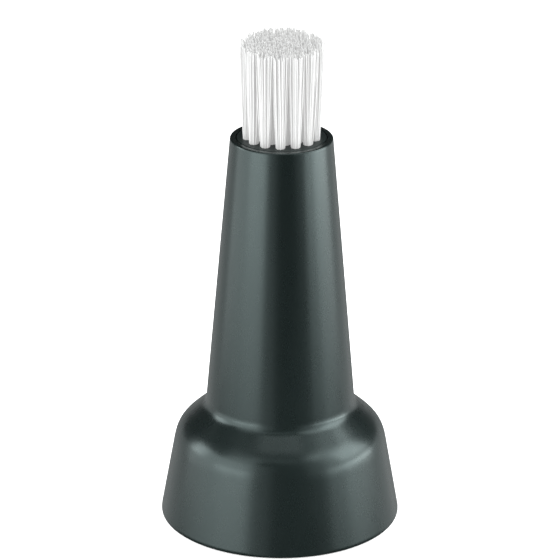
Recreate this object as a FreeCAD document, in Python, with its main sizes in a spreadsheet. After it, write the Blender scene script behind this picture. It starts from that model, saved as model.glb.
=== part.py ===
"""Detail-cleaning brush head: a tapered guard on a flared skirt, with a tufted disc driven by a shaft.

Frame: +Z up along the shaft, towards the bristles. The origin is the centre of the skirt's rim,
on the plane that the head stands on. Millimetres throughout.

The guard, the adapter that takes the tool's neck, the two bushes and the seals stand still. The disc
with its tufts, the shaft, the circlip, the hex socket and its pin turn together about Z.
"""

import FreeCAD, Part
import os

import Sketcher

DRIVING_SIZES = {
    # Guard, outside
    "skirt_flare": 3.67,
    "shoulder_height": 20.85,
    "shoulder_rise": 5.72,
    "shoulder_step": 6.57,
    "nose_height": 89.6,
    "nose_lip": 1.25,
    "rim_round": 1.6,
    "shoulder_round": 8.5,
    "neck_fillet": 3.0,
    "nose_round": 1.1,
    # Guard, inside
    "wall": 2.0,
    "rim_wall": 2.4,
    "mouth_radius": 10.1,
    "mouth_floor_gap": 1.0,
    "web_thickness": 2.5,
    "boss_wall": 1.6,
    "rib_thickness": 1.6,
    "rib_length": 14.0,
    # Tufted disc
    "disc_gap": 0.2,
    "disc_thickness": 5.6,
    "disc_edge_chamfer": 0.3,
    "hub_radius": 4.5,
    "hub_length": 9.4,
    "shaft_grip": 7.6,
    # Tufts and anchors
    "tuft_hole_radius": 0.95,
    "tuft_hole_depth": 4.2,
    "tuft_clearance": 0.06,
    "tuft_tip_radius": 1.0,
    "tuft_free_length": 21.9,
    "tuft_lean": 0.4,
    "disc_border": 2.33,
    "inner_ring_count": 5,
    "middle_ring_count": 10,
    "outer_ring_count": 14,
    "anchor_length": 2.3,
    "anchor_height": 1.6,
    "anchor_thickness": 0.35,
    # Shaft and what holds it endways
    "shaft_radius": 2.5,
    "shaft_flat_depth": 0.5,
    "shaft_end_chamfer": 0.3,
    "running_clearance": 0.05,
    "seat_clearance": 0.02,
    "circlip_thickness": 0.6,
    "circlip_groove_depth": 0.5,
    "circlip_outer_radius": 4.4,
    "circlip_opening": 3.2,
    "washer_thickness": 0.5,
    "washer_outer_radius": 4.8,
    # Bushes and nose seal
    "bush_outer_radius": 4.5,
    "bush_length": 9.0,
    "flange_radius": 5.8,
    "flange_thickness": 1.0,
    "flange_gap": 0.25,
    "seal_outer_radius": 6.6,
    "seal_height": 3.2,
    "seal_lip": 0.9,
    # Adapter that takes the tool's neck
    "collar_bore_radius": 15.7,
    "collar_wall": 2.2,
    "collar_gap": 3.43,
    "collar_bottom": 1.5,
    "collar_chamfer": 0.6,
    "plate_rise": 1.6,
    "plate_thickness": 2.4,
    "bearing_tube_radius": 7.5,
    "bush_recess": 3.0,
    "adapter_rib_reach": 6.0,
    "key_slot_width": 5.0,
    "key_slot_depth": 4.6,
    # Snap ring and neck seal
    "snap_wire_radius": 0.7,
    "snap_groove_depth": 1.1,
    "snap_ring_rise": 7.5,
    "snap_ring_sweep": 325.0,
    "neck_seal_radius": 0.85,
    "neck_seal_groove_depth": 1.3,
    "neck_seal_rise": 11.5,
    "groove_side_gap": 0.1,
    # Screws that hold the adapter
    "screw_radius": 1.25,
    "screw_length": 6.6,
    "screw_head_radius": 2.2,
    "screw_head_height": 1.6,
    "screw_head_gap": 0.4,
    "screw_hole_gap": 0.25,
    "screw_end_gap": 0.25,
    "screw_post_radius": 2.9,
    "screw_post_cap": 1.2,
    "pilot_gap": 0.03,
    "recess_width": 0.7,
    "recess_length": 2.6,
    "recess_depth": 0.9,
    # Hex drive socket
    "socket_wall": 2.4,
    "socket_neck_radius": 5.3,
    "socket_floor": 1.4,
    "socket_shoulder": 0.6,
    "socket_end_gap": 0.75,
    "socket_chamfer": 0.8,
    "hex_across_flats": 8.0,
    "hex_depth": 7.5,
    "pin_radius": 1.0,
    "pin_bore_radius": 0.6,
    "pin_slit": 0.4,
    "pin_inset": 0.4,
    "pin_access": 0.2,
}

SCREWS = 3
SCREW_TURN = 60.0
GUARD_RIBS = 4
SHEET = "Sizes"
# How far a cutting outline reaches outside the solid that it cuts
OVERCUT = 1.0
# A cut that takes less than this, in cubic millimetres, has missed its solid
SMALLEST_CUT = 0.01

doc = FreeCAD.newDocument("detail_brush_head")
sheet = doc.addObject("Spreadsheet::Sheet", SHEET)
for row, (alias, number) in enumerate(DRIVING_SIZES.items(), start=1):
    sheet.set(f"A{row}", alias)
    sheet.set(f"B{row}", str(number))
    sheet.setAlias(f"B{row}", alias)
doc.recompute()


class Length:
    """A number together with the sheet expression that gives it, so that a formula is written once."""

    def __init__(self, number, text):
        self.number = float(number)
        self.text = text

    @staticmethod
    def of(other):
        return other if isinstance(other, Length) else Length(other, repr(float(other)))

    def joined(self, other, sign, number):
        return Length(number, f"({self.text} {sign} {other.text})")

    def __add__(self, other):
        other = Length.of(other)
        return self.joined(other, "+", self.number + other.number)

    def __sub__(self, other):
        other = Length.of(other)
        return self.joined(other, "-", self.number - other.number)

    def __mul__(self, other):
        other = Length.of(other)
        return self.joined(other, "*", self.number * other.number)

    __radd__ = __add__
    __rmul__ = __mul__

    def __truediv__(self, other):
        other = Length.of(other)
        return self.joined(other, "/", self.number / other.number)


def size(alias):
    """The driving dimension of that name."""
    return Length(DRIVING_SIZES[alias], f"{SHEET}.{alias}")


ZERO = Length.of(0)


# --- Places that several pieces share -----------------------------------------------------------

collar_outer = size("collar_bore_radius") + size("collar_wall")
shoulder_radius = collar_outer + size("collar_gap") + size("wall")
shoulder_height = size("shoulder_height")
rim_radius = shoulder_radius + size("skirt_flare")
neck_radius = shoulder_radius - size("shoulder_step")
neck_height = shoulder_height + size("shoulder_rise")
nose_radius = size("mouth_radius") + size("nose_lip")
nose_height = size("nose_height")


def cone_radius(height):
    """Outer radius of the guard's cone at a height."""
    return nose_radius + (nose_height - height) * (neck_radius - nose_radius) / (nose_height - neck_height)


disc_radius = size("mouth_radius") - size("disc_gap")
disc_bottom = nose_height - size("disc_thickness")
web_top = disc_bottom - size("mouth_floor_gap")
web_bottom = web_top - size("web_thickness")
hub_bottom = disc_bottom - size("hub_length")
thrust_washer_bottom = hub_bottom - size("running_clearance") - size("washer_thickness")
front_flange_bottom = thrust_washer_bottom - size("flange_thickness")
boss_bottom = front_flange_bottom - size("bush_length")
flange_bore = size("flange_radius") + size("flange_gap")
seal_seat = web_top - size("seal_height") - size("seal_lip")
seal_boss_radius = size("seal_outer_radius") + size("boss_wall")
bush_boss_radius = flange_bore + size("boss_wall")

anchor_bottom = nose_height - size("tuft_hole_depth")
anchor_top = anchor_bottom + size("anchor_height")
tuft_foot_radius = size("tuft_hole_radius") - size("tuft_clearance")
tuft_tip = nose_height + size("tuft_free_length")
outer_ring_radius = disc_radius - size("disc_border")

plate_top = shoulder_height + size("plate_rise")
plate_bottom = plate_top - size("plate_thickness")
rear_flange_top = plate_bottom + size("bush_recess")
rear_flange_bottom = rear_flange_top - size("flange_thickness")
bearing_tube_top = rear_flange_top + size("bush_length")
rear_washer_bottom = rear_flange_bottom - size("washer_thickness")
circlip_top = rear_washer_bottom - size("running_clearance")
circlip_bottom = circlip_top - size("circlip_thickness")

snap_ring_height = size("collar_bottom") + size("snap_ring_rise")
neck_seal_height = size("collar_bottom") + size("neck_seal_rise")
screw_circle = size("collar_bore_radius") - size("screw_head_gap") - size("screw_head_radius")
screw_head_bottom = plate_bottom - size("screw_head_height")
pilot_depth = size("screw_length") - size("plate_thickness") + size("screw_end_gap")

pin_height = plate_bottom - size("pin_access") - size("pin_radius")
socket_top = circlip_bottom - size("socket_end_gap")
hex_top = pin_height - size("pin_radius") - size("socket_floor")
socket_bottom = hex_top - size("hex_depth")
socket_radius = size("hex_across_flats") / 3**0.5 + size("socket_wall")
shaft_bottom = hex_top + size("seat_clearance")
shaft_top = hub_bottom + size("shaft_grip")
shaft_flat = size("shaft_radius") - size("shaft_flat_depth")
circlip_groove = size("shaft_radius") - size("circlip_groove_depth")
fitted_bore = size("shaft_radius") + size("seat_clearance")
fitted_flat = shaft_flat + size("seat_clearance")
bearing_bore = size("shaft_radius") + size("running_clearance")
bush_seat_radius = size("bush_outer_radius") + size("seat_clearance")

TUFT_RINGS = {
    # node name: (ring radius, alias of the number of tufts in it, degrees that the ring is turned)
    "centre_tuft": (ZERO, None, 0.0),
    "inner_tufts": (outer_ring_radius / 3, "inner_ring_count", -70.0),
    "middle_tufts": (outer_ring_radius * 2 / 3, "middle_ring_count", -81.0),
    "outer_tufts": (outer_ring_radius, "outer_ring_count", -92.0),
}


# --- How the pieces are drawn -------------------------------------------------------------------

def new_body(label):
    """An empty PartDesign body with that label."""
    body = doc.addObject("PartDesign::Body", label)
    body.Label = label
    body.AllowCompound = True
    return body


def base_plane(body, role):
    """The body's own origin plane of that role."""
    return next(f for f in body.Origin.OriginFeatures if f.Role == role)


def new_sketch(body, name, role="XZ_Plane", height=None, turned=None):
    """A sketch on an origin plane of its body, raised to a height and turned about its normal if asked."""
    sketch = body.newObject("Sketcher::SketchObject", name)
    sketch.AttachmentSupport = [(base_plane(body, role), "")]
    sketch.MapMode = "FlatFace"
    if turned is not None:
        rotation = FreeCAD.Rotation(FreeCAD.Vector(0, 0, 1), turned)
        sketch.AttachmentOffset = FreeCAD.Placement(FreeCAD.Vector(), rotation)
    if height is not None:
        sketch.setExpression("AttachmentOffset.Base.z", height.text)
    return sketch


def bind(sketch, constraint, name, length):
    """Adds a constraint and ties its value to the sheet."""
    index = sketch.addConstraint(constraint)
    sketch.renameConstraint(index, name)
    sketch.setExpression(f"Constraints.{name}", length.text)


def pin_point(sketch, geometry, end, across, up, name):
    """Fixes a point of the sketch at (across, up)."""
    if across.number == 0:
        sketch.addConstraint(Sketcher.Constraint("PointOnObject", geometry, end, -2))
    else:
        distance = Sketcher.Constraint("DistanceX", -1, 1, geometry, end, across.number)
        bind(sketch, distance, name + "_x", across)
    if up.number == 0:
        sketch.addConstraint(Sketcher.Constraint("PointOnObject", geometry, end, -1))
    else:
        distance = Sketcher.Constraint("DistanceY", -1, 1, geometry, end, up.number)
        bind(sketch, distance, name + "_y", up)


def draw_polygon(sketch, corners):
    """A closed outline through the corners, each tied to the sheet."""
    corners = [(Length.of(x), Length.of(y)) for x, y in corners]
    points = [FreeCAD.Vector(x.number, y.number, 0) for x, y in corners]
    first = sketch.GeometryCount
    count = len(points)
    for i in range(count):
        sketch.addGeometry(Part.LineSegment(points[i], points[(i + 1) % count]), False)
    for i in range(count):
        sketch.addConstraint(Sketcher.Constraint("Coincident", first + i, 2, first + (i + 1) % count, 1))
    for i, (x, y) in enumerate(corners):
        pin_point(sketch, first + i, 1, x, y, f"corner{first + i}")


def draw_circle(sketch, across, up, radius):
    """A circle tied to the sheet."""
    across, up = Length.of(across), Length.of(up)
    centre = FreeCAD.Vector(across.number, up.number, 0)
    circle = sketch.addGeometry(Part.Circle(centre, FreeCAD.Vector(0, 0, 1), radius.number), False)
    pin_point(sketch, circle, 3, across, up, f"centre{circle}")
    bind(sketch, Sketcher.Constraint("Radius", circle, radius.number), f"radius{circle}", radius)


def draw_d_shape(sketch, radius, flat):
    """A circle about the origin with one flat across it, on the +X side."""
    half_chord = (radius.number**2 - flat.number**2) ** 0.5
    corners = [FreeCAD.Vector(flat.number, y, 0) for y in (half_chord, -half_chord)]
    arc = sketch.addGeometry(Part.Arc(corners[0], FreeCAD.Vector(-radius.number, 0, 0), corners[1]), False)
    line = sketch.addGeometry(Part.LineSegment(corners[1], corners[0]), False)
    sketch.addConstraint(Sketcher.Constraint("Coincident", arc, 2, line, 2))
    sketch.addConstraint(Sketcher.Constraint("Coincident", arc, 1, line, 1))
    sketch.addConstraint(Sketcher.Constraint("Coincident", arc, 3, -1, 1))
    sketch.addConstraint(Sketcher.Constraint("Vertical", line))
    bind(sketch, Sketcher.Constraint("Radius", arc, radius.number), "radius", radius)
    bind(sketch, Sketcher.Constraint("DistanceX", -1, 1, line, 1, flat.number), "flat", flat)


def rectangle(sketch, low_x, high_x, low_y, high_y):
    """A rectangle between four lengths."""
    draw_polygon(sketch, [(low_x, low_y), (high_x, low_y), (high_x, high_y), (low_x, high_y)])


def turn(body, name, corners, kind="PartDesign::Revolution", sweep=None):
    """Turns an outline of (radius, height) corners about Z, to add material or to cut it."""
    sketch = new_sketch(body, name + "_outline")
    draw_polygon(sketch, corners)
    return turn_sketch(body, name, sketch, kind, sweep)


def turn_sketch(body, name, sketch, kind="PartDesign::Revolution", sweep=None):
    """Turns a sketch about Z."""
    feature = body.newObject(kind, name)
    feature.Profile = sketch
    feature.ReferenceAxis = (sketch, ["V_Axis"])
    feature.Angle = 360.0
    if sweep is not None:
        feature.setExpression("Angle", sweep.text)
    sketch.Visibility = False
    return feature


def extrude(body, name, sketch, length, kind="PartDesign::Pad", reverse=False, middle=False):
    """Pads or pockets a sketch by a length, along its normal unless reversed."""
    feature = body.newObject(kind, name)
    feature.Profile = sketch
    feature.setExpression("Length", length.text)
    feature.Reversed = reverse
    feature.Midplane = middle
    return feature


def cut_upwards(body, name, sketch, length):
    """A pocket that runs up from a level sketch, and is checked to have cut something."""
    doc.recompute()
    before = body.Shape.Volume
    feature = extrude(body, name, sketch, length, "PartDesign::Pocket", reverse=True)
    doc.recompute()
    if not body.Shape.Volume < before - SMALLEST_CUT:
        raise RuntimeError(f"{name} cut nothing")
    return feature


def ring_pattern(body, name, features, count):
    """Repeats features about Z. The count is a number or the alias of one."""
    pattern = body.newObject("PartDesign::PolarPattern", name)
    pattern.Originals = features
    pattern.Axis = (new_sketch(body, name + "_axis", "XY_Plane"), ["N_Axis"])
    pattern.Angle = 360.0
    if isinstance(count, str):
        pattern.setExpression("Occurrences", f"{SHEET}.{count}")
    else:
        pattern.Occurrences = count
    body.Tip = pattern
    doc.recompute()
    return pattern


def round_edges(body, name, radius, height, fillet):
    """Rounds the circular edge of that radius at that height."""
    doc.recompute()
    base = body.Tip
    edges = [
        f"Edge{i}"
        for i, edge in enumerate(base.Shape.Edges, start=1)
        if edge.Curve.TypeId == "Part::GeomCircle"
        and abs(edge.Curve.Radius - radius.number) < 1e-4
        and abs(edge.Curve.Center.z - height.number) < 1e-4
    ]
    if not edges:
        raise RuntimeError(f"{name} finds no edge of radius {radius.number} at {height.number}")
    feature = body.newObject("PartDesign::Fillet", name)
    feature.Base = (base, edges)
    feature.setExpression("Radius", fillet.text)
    doc.recompute()
    return feature


# --- Pieces that stand still --------------------------------------------------------------------

def make_guard_body():
    """The outer shell: flared skirt, shoulder, cone and nose, with the front bearing boss inside."""
    body = new_body("guard_body")
    wall = size("wall")
    inner_neck = (neck_radius - wall, neck_height - wall / 2)
    inner_shoulder = (shoulder_radius - wall, shoulder_height - wall / 2)
    boss_step = seal_seat - size("boss_wall")
    turn(body, "skin", [
        (rim_radius, ZERO),
        (shoulder_radius, shoulder_height),
        (neck_radius, neck_height),
        (nose_radius, nose_height),
        (size("mouth_radius"), nose_height),
        (size("mouth_radius"), web_top),
        (ZERO, web_top),
        (ZERO, boss_bottom),
        (bush_boss_radius, boss_bottom),
        (bush_boss_radius, boss_step),
        (seal_boss_radius, boss_step),
        (seal_boss_radius, web_bottom),
        (cone_radius(web_bottom) - wall, web_bottom),
        inner_neck,
        inner_shoulder,
        (rim_radius - size("rim_wall"), ZERO),
    ])
    rib_bottom = web_bottom - size("rib_length")
    rib = new_sketch(body, "rib_outline")
    draw_polygon(rib, [
        (bush_boss_radius - wall / 4, rib_bottom),
        (cone_radius(rib_bottom) - wall / 2, rib_bottom),
        (cone_radius(web_bottom) - wall / 2, web_bottom + wall / 4),
        (bush_boss_radius - wall / 4, web_bottom + wall / 4),
    ])
    first_rib = extrude(body, "rib", rib, size("rib_thickness"), middle=True)
    ring_pattern(body, "ribs", [first_rib], GUARD_RIBS)
    post = new_sketch(body, "screw_post_outline", "XY_Plane", plate_top, SCREW_TURN)
    draw_circle(post, screw_circle, ZERO, size("screw_post_radius"))
    first_post = extrude(body, "screw_post", post, pilot_depth + size("screw_post_cap"))
    ring_pattern(body, "screw_posts", [first_post], SCREWS)
    turn(body, "stepped_bore", [
        (ZERO, web_top + OVERCUT),
        (size("seal_outer_radius"), web_top + OVERCUT),
        (size("seal_outer_radius"), seal_seat),
        (flange_bore, seal_seat),
        (flange_bore, front_flange_bottom),
        (bush_seat_radius, front_flange_bottom),
        (bush_seat_radius, boss_bottom - OVERCUT),
        (ZERO, boss_bottom - OVERCUT),
    ], "PartDesign::Groove")
    pilot = new_sketch(body, "pilot_outline", "XY_Plane", plate_top, SCREW_TURN)
    draw_circle(pilot, screw_circle, ZERO, size("screw_radius") + size("pilot_gap"))
    first_pilot = cut_upwards(body, "pilot", pilot, pilot_depth)
    ring_pattern(body, "pilots", [first_pilot], SCREWS)
    inner_round = size("shoulder_round") - wall
    round_edges(body, "shoulder_rounding", shoulder_radius, shoulder_height, size("shoulder_round"))
    round_edges(body, "shoulder_rounding_inside", *inner_shoulder, inner_round)
    round_edges(body, "neck_rounding", neck_radius, neck_height, size("neck_fillet"))
    round_edges(body, "nose_rounding", nose_radius, nose_height, size("nose_round"))
    round_edges(body, "rim_rounding", rim_radius, ZERO, size("rim_round"))
    return body


def groove_corners(height, depth, wire):
    """The four corners of an inward-opening groove in the collar, from its lower side up."""
    half_width = wire + size("groove_side_gap")
    bore = size("collar_bore_radius")
    return [
        (bore, height - half_width),
        (bore + depth, height - half_width),
        (bore + depth, height + half_width),
        (bore, height + half_width),
    ]


def make_tool_adapter():
    """The moulding inside the skirt: collar for the tool's neck, plate and rear bearing tube."""
    body = new_body("tool_adapter")
    bore = size("collar_bore_radius")
    tube = size("bearing_tube_radius")
    chamfer = size("collar_chamfer")
    snap = groove_corners(snap_ring_height, size("snap_groove_depth"), size("snap_wire_radius"))
    seal = groove_corners(neck_seal_height, size("neck_seal_groove_depth"), size("neck_seal_radius"))
    turn(body, "moulding", [
        (bore + chamfer, size("collar_bottom")),
        (collar_outer, size("collar_bottom")),
        (collar_outer, plate_top - chamfer),
        (collar_outer - chamfer, plate_top),
        (tube, plate_top),
        (tube, bearing_tube_top),
        (bush_seat_radius, bearing_tube_top),
        (bush_seat_radius, rear_flange_top),
        (flange_bore, rear_flange_top),
        (flange_bore, plate_bottom),
        (bore, plate_bottom),
        *reversed(seal),
        *reversed(snap),
        (bore, size("collar_bottom") + chamfer),
    ])
    rib = new_sketch(body, "rib_outline")
    root = tube - size("rib_thickness") / 2
    base = plate_top - size("plate_thickness") / 4
    tip = root + size("adapter_rib_reach")
    top = plate_top + size("adapter_rib_reach")
    draw_polygon(rib, [(root, base), (tip, base), (tip, plate_top), (root, top)])
    first_rib = extrude(body, "rib", rib, size("rib_thickness"), middle=True)
    ring_pattern(body, "ribs", [first_rib], SCREWS)
    hole = new_sketch(body, "screw_hole_outline", "XY_Plane", plate_bottom - OVERCUT, SCREW_TURN)
    draw_circle(hole, screw_circle, ZERO, size("screw_radius") + size("screw_hole_gap"))
    first_hole = cut_upwards(body, "screw_hole", hole, size("plate_thickness") + 2 * OVERCUT)
    ring_pattern(body, "screw_holes", [first_hole], SCREWS)
    slot = new_sketch(body, "key_slot_outline", "XY_Plane", size("collar_bottom") - OVERCUT)
    half = size("key_slot_width") / 2
    rectangle(slot, bore - OVERCUT, collar_outer + OVERCUT, ZERO - half, half)
    first_slot = cut_upwards(body, "key_slot", slot, size("key_slot_depth") + OVERCUT)
    ring_pattern(body, "key_slots", [first_slot], SCREWS)
    return body


def make_adapter_screws():
    """Three pan-head screws that hold the adapter to the guard, as one group."""
    body = new_body("adapter_screws")
    head = new_sketch(body, "head_outline", "XY_Plane", screw_head_bottom, SCREW_TURN)
    draw_circle(head, screw_circle, ZERO, size("screw_head_radius"))
    first_head = extrude(body, "head", head, size("screw_head_height"))
    inside_head = size("screw_head_height") / 4
    shank = new_sketch(body, "shank_outline", "XY_Plane", plate_bottom - inside_head, SCREW_TURN)
    draw_circle(shank, screw_circle, ZERO, size("screw_radius"))
    first_shank = extrude(body, "shank", shank, size("screw_length") + inside_head)
    recesses = []
    for name, long_x, long_y in (("slot_across", "recess_length", "recess_width"),
                                 ("slot_along", "recess_width", "recess_length")):
        slot = new_sketch(body, name + "_outline", "XY_Plane", screw_head_bottom, SCREW_TURN)
        rectangle(slot, screw_circle - size(long_x) / 2, screw_circle + size(long_x) / 2,
                  ZERO - size(long_y) / 2, size(long_y) / 2)
        recesses.append(cut_upwards(body, name, slot, size("recess_depth")))
    ring_pattern(body, "screws", [first_head, first_shank, *recesses], SCREWS)
    return body


def make_turned_ring(label, corners):
    """A plain ring whose section is the outline."""
    body = new_body(label)
    turn(body, "section", corners)
    return body


def make_wire_ring(label, ring_radius, height, wire_radius, sweep=None):
    """A ring of round wire or cord, open by what the sweep leaves out of a full turn."""
    body = new_body(label)
    section = new_sketch(body, "section_outline")
    draw_circle(section, ring_radius, height, wire_radius)
    turn_sketch(body, "section", section, sweep=sweep)
    return body


def bush_corners(flange_low, flange_high, body_far):
    """Section of a flanged bush whose body runs from the flange to body_far."""
    near = flange_high if body_far.number > flange_high.number else flange_low
    far_side = flange_low if near is flange_high else flange_high
    return [
        (bearing_bore, far_side),
        (size("flange_radius"), far_side),
        (size("flange_radius"), near),
        (size("bush_outer_radius"), near),
        (size("bush_outer_radius"), body_far),
        (bearing_bore, body_far),
    ]


def make_nose_seal():
    """Rubber ring pressed into the boss, with a lip that runs on the disc's hub."""
    lip_radius = size("hub_radius") + size("running_clearance")
    outer = size("seal_outer_radius") - size("seat_clearance")
    middle = (lip_radius + outer) / 2
    top = seal_seat + size("seal_height")
    return make_turned_ring("nose_seal", [
        (lip_radius + size("seal_lip"), seal_seat),
        (outer, seal_seat),
        (outer, top),
        (middle, top),
        (middle, top - size("seal_lip")),
        (lip_radius + size("seal_lip") / 3, top),
        (lip_radius, top - size("seal_lip") / 2),
        (lip_radius + size("seal_lip"), top - size("seal_lip") * 2),
    ])


def make_thrust_ring(label, bottom):
    """A flat washer that a bush's flange carries."""
    bore = size("shaft_radius") + size("running_clearance") * 2
    return make_turned_ring(label, [
        (bore, bottom),
        (size("washer_outer_radius"), bottom),
        (size("washer_outer_radius"), bottom + size("washer_thickness")),
        (bore, bottom + size("washer_thickness")),
    ])


# --- Pieces that turn ---------------------------------------------------------------------------

def make_brush_disc():
    """The disc that the tufts are planted in, with the hub that grips the shaft."""
    body = new_body("brush_disc")
    chamfer = size("disc_edge_chamfer")
    turn(body, "disc", [
        (ZERO, hub_bottom),
        (size("hub_radius"), hub_bottom),
        (size("hub_radius"), disc_bottom),
        (disc_radius, disc_bottom),
        (disc_radius, nose_height - chamfer),
        (disc_radius - chamfer, nose_height),
        (ZERO, nose_height),
    ])
    grip = new_sketch(body, "shaft_bore_outline", "XY_Plane", hub_bottom)
    draw_d_shape(grip, fitted_bore, fitted_flat)
    cut_upwards(body, "shaft_bore", grip, size("shaft_grip") + size("seat_clearance"))
    for node, (ring_radius, count, turned) in TUFT_RINGS.items():
        hole = new_sketch(body, node + "_hole_outline", "XY_Plane", anchor_bottom, turned)
        draw_circle(hole, ring_radius, ZERO, size("tuft_hole_radius"))
        cuts = [cut_upwards(body, node + "_hole", hole, size("tuft_hole_depth") + OVERCUT)]
        slot = new_sketch(body, node + "_anchor_slot_outline", "XY_Plane", anchor_bottom, turned)
        draw_anchor(slot, ring_radius)
        cuts.append(cut_upwards(body, node + "_anchor_slot", slot, size("anchor_height")))
        if count is not None:
            ring_pattern(body, node + "_holes", cuts, count)
    return body


def draw_anchor(sketch, across):
    """The outline of one anchor seen from above: a thin blade across its hole."""
    half_thickness = size("anchor_thickness") / 2
    half_length = size("anchor_length") / 2
    rectangle(sketch, across - half_thickness, across + half_thickness, ZERO - half_length, half_length)


def make_tuft_ring(node):
    """One ring of tufts, each a slim cone that widens towards its tip and leans out with its ring."""
    ring_radius, count, turned = TUFT_RINGS[node]
    body = new_body(node)
    foot = new_sketch(body, "foot_outline", "XY_Plane", anchor_top, turned)
    draw_circle(foot, ring_radius, ZERO, tuft_foot_radius)
    tip = new_sketch(body, "tip_outline", "XY_Plane", tuft_tip, turned)
    lean = size("tuft_lean") * ring_radius / outer_ring_radius
    draw_circle(tip, ring_radius + lean, ZERO, size("tuft_tip_radius"))
    tuft = body.newObject("PartDesign::AdditiveLoft", "tuft")
    tuft.Profile = foot
    tuft.Sections = [tip]
    tuft.Ruled = True
    if count is not None:
        ring_pattern(body, "ring", [tuft], count)
    return body


def make_tuft_anchors():
    """The flat metal blades that hold the tufts in their holes, one to a hole, as one group."""
    body = new_body("tuft_anchors")
    for node, (ring_radius, count, turned) in TUFT_RINGS.items():
        blade = new_sketch(body, node + "_anchor_outline", "XY_Plane", anchor_bottom, turned)
        draw_anchor(blade, ring_radius)
        first = extrude(body, node + "_anchor", blade, size("anchor_height"))
        if count is not None:
            ring_pattern(body, node + "_anchors", [first], count)
    return body


def make_drive_shaft():
    """Steel shaft with a flat at each end, a circlip groove and a cross hole for the socket's pin."""
    body = new_body("drive_shaft")
    radius = size("shaft_radius")
    chamfer = size("shaft_end_chamfer")
    groove_low = circlip_bottom - size("seat_clearance")
    groove_high = circlip_top + size("seat_clearance")
    turn(body, "shaft", [
        (ZERO, shaft_bottom),
        (radius - chamfer, shaft_bottom),
        (radius, shaft_bottom + chamfer),
        (radius, groove_low),
        (circlip_groove, groove_low),
        (circlip_groove, groove_high),
        (radius, groove_high),
        (radius, shaft_top - chamfer),
        (radius - chamfer, shaft_top),
        (ZERO, shaft_top),
    ])
    flats = (("lower_flat", shaft_bottom - OVERCUT, socket_top - shaft_bottom + OVERCUT),
             ("upper_flat", hub_bottom, size("shaft_grip") + OVERCUT))
    for name, bottom, length in flats:
        flat = new_sketch(body, name + "_outline", "XY_Plane", bottom)
        rectangle(flat, shaft_flat, radius + OVERCUT, ZERO - radius, radius)
        cut_upwards(body, name, flat, length)
    drill_across(body)
    return body


def drill_across(body):
    """Drills the hole for the socket's pin right through, along X."""
    doc.recompute()
    before = body.Shape.Volume
    hole = new_sketch(body, "pin_hole_outline", "YZ_Plane")
    draw_circle(hole, ZERO, pin_height, size("pin_radius") + size("seat_clearance"))
    extrude(body, "pin_hole", hole, socket_radius * 2 + OVERCUT, "PartDesign::Pocket", middle=True)
    doc.recompute()
    if not body.Shape.Volume < before - SMALLEST_CUT:
        raise RuntimeError("the pin's hole cut nothing")


def make_shaft_circlip():
    """Spring clip in the shaft's groove, under the rear bush's washer."""
    body = new_body("shaft_circlip")
    bore = circlip_groove + size("seat_clearance")
    outer = size("circlip_outer_radius")
    turn(body, "clip", [
        (bore, circlip_bottom),
        (outer, circlip_bottom),
        (outer, circlip_top),
        (bore, circlip_top),
    ])
    opening = new_sketch(body, "opening_outline", "XY_Plane", circlip_bottom - OVERCUT)
    half = size("circlip_opening") / 2
    rectangle(opening, ZERO, outer + OVERCUT, ZERO - half, half)
    cut_upwards(body, "opening", opening, size("circlip_thickness") + 2 * OVERCUT)
    return body


def make_drive_socket():
    """Hex socket that the tool's spindle enters from below, pinned to the shaft."""
    body = new_body("drive_socket")
    chamfer = size("socket_chamfer")
    neck = size("socket_neck_radius")
    shoulder = hex_top + size("socket_shoulder")
    turn(body, "blank", [
        (ZERO, socket_bottom),
        (socket_radius - chamfer, socket_bottom),
        (socket_radius, socket_bottom + chamfer),
        (socket_radius, shoulder - chamfer),
        (neck, shoulder),
        (neck, socket_top),
        (ZERO, socket_top),
    ])
    hexagon = new_sketch(body, "hex_outline", "XY_Plane", socket_bottom)
    flat = size("hex_across_flats") / 2
    corner = size("hex_across_flats") / 3**0.5
    draw_polygon(hexagon, [
        (flat, ZERO - corner / 2),
        (flat, corner / 2),
        (ZERO, corner),
        (ZERO - flat, corner / 2),
        (ZERO - flat, ZERO - corner / 2),
        (ZERO, ZERO - corner),
    ])
    cut_upwards(body, "hex_socket", hexagon, size("hex_depth"))
    grip = new_sketch(body, "shaft_bore_outline", "XY_Plane", hex_top - OVERCUT)
    draw_d_shape(grip, fitted_bore, fitted_flat)
    cut_upwards(body, "shaft_bore", grip, socket_top - hex_top + 2 * OVERCUT)
    drill_across(body)
    return body


def make_socket_pin():
    """Rolled spring pin through the socket and the shaft."""
    body = new_body("socket_pin")
    length = (size("socket_neck_radius") - size("pin_inset")) * 2
    ring = new_sketch(body, "pin_outline", "YZ_Plane")
    draw_circle(ring, ZERO, pin_height, size("pin_radius"))
    draw_circle(ring, ZERO, pin_height, size("pin_bore_radius"))
    extrude(body, "pin", ring, length, middle=True)
    slit = new_sketch(body, "slit_outline", "YZ_Plane")
    half = size("pin_slit") / 2
    rectangle(slit, ZERO - half, half, pin_height, pin_height + size("pin_radius") + OVERCUT)
    extrude(body, "slit", slit, length + OVERCUT, "PartDesign::Pocket", middle=True)
    return body


# --- Build, check and write ---------------------------------------------------------------------

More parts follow.
